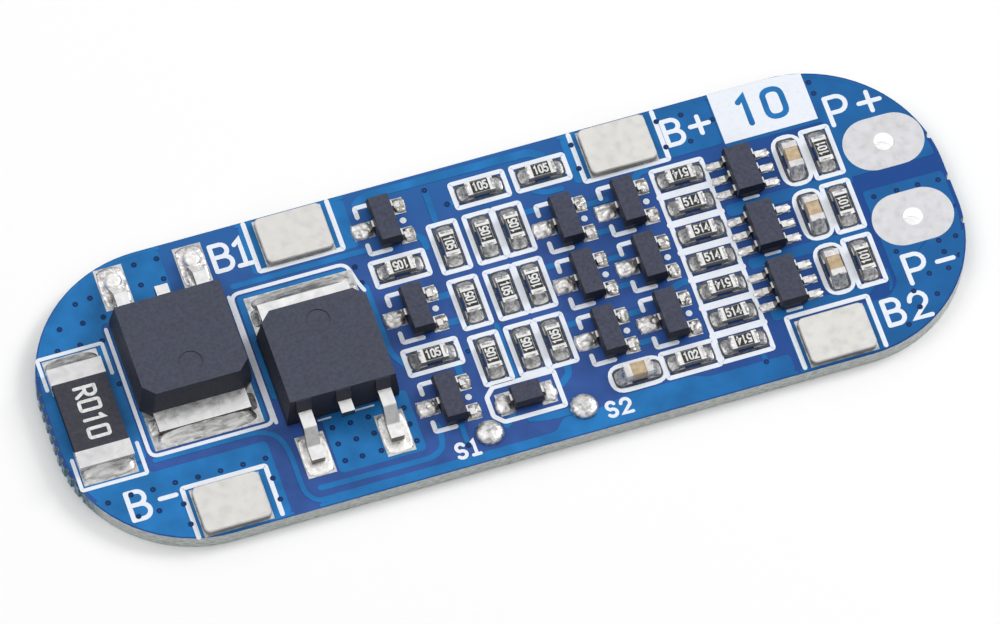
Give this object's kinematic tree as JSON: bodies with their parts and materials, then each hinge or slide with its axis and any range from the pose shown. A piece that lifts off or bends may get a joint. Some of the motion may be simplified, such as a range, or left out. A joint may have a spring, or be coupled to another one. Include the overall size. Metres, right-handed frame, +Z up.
{
  "type": "battery management board",
  "caption": "Blue oval circuit board that protects and balances a lithium battery pack, with power transistors, a current shunt, cell tabs, wire pads and small chips.",
  "frame": {"origin": "middle of the board's flat back, on the plane that it rests on", "axes": "+X along the board towards its wire pads, +Y across it towards the long edge with the tab B+, +Z up through the parts"},
  "size_m": [0.0528, 0.0184, 0.0033],
  "materials": {
    "board": "satin",
    "tinned": "satin",
    "solder": "satin",
    "print": "matte",
    "nickel": "matte",
    "mould": "matte",
    "leads": "satin",
    "ceramic": "matte",
    "coat": "satin",
    "shunt_black": "matte",
    "capacitor_tan": "satin"
  },
  "bodies": {
    "root": {"bias_resistor_caps": "leads", "bias_resistor_coats": "coat", "bias_resistor_cores": "ceramic", "bleed_resistor_caps": "leads", "bleed_resistor_coats": "coat", "bleed_resistor_cores": "ceramic", "capacitor_caps": "leads", "capacitor_cores": "capacitor_tan", "circuit_board": "board", "diode_leads": "leads", "diode_mould": "mould", "driver_transistor_1_leads": "leads", "driver_transistor_1_mould": "mould", "driver_transistor_2_leads": "leads", "driver_transistor_2_mould": "mould", "driver_transistor_3_leads": "leads", "driver_transistor_3_mould": "mould", "driver_transistor_4_leads": "leads", "driver_transistor_4_mould": "mould", "driver_transistor_5_leads": "leads", "driver_transistor_5_mould": "mould", "driver_transistor_6_leads": "leads", "driver_transistor_6_mould": "mould", "filter_resistor_caps": "leads", "filter_resistor_coats": "coat", "filter_resistor_cores": "ceramic", "gate_transistor_1_leads": "leads", "gate_transistor_1_mould": "mould", "gate_transistor_2_leads": "leads", "gate_transistor_2_mould": "mould", "gate_transistor_3_leads": "leads", "gate_transistor_3_mould": "mould", "left_switch_leads": "leads", "left_switch_mould": "mould", "monitor_chip_1_leads": "leads", "monitor_chip_1_mould": "mould", "monitor_chip_2_leads": "leads", "monitor_chip_2_mould": "mould", "monitor_chip_3_leads": "leads", "monitor_chip_3_mould": "mould", "power_solder": "solder", "right_switch_leads": "leads", "right_switch_mould": "mould", "sense_resistor_caps": "leads", "sense_resistor_coats": "coat", "sense_resistor_cores": "ceramic", "shunt_block": "shunt_black", "shunt_end_caps": "leads", "silkscreen": "print", "small_solder": "solder", "solder_lands": "tinned", "tab_b1": "nickel", "tab_b2": "nickel", "tab_b_minus": "nickel", "tab_b_plus": "nickel", "test_point_domes": "solder", "wire_pads": "tinned"}
  },
  "joints": []
}
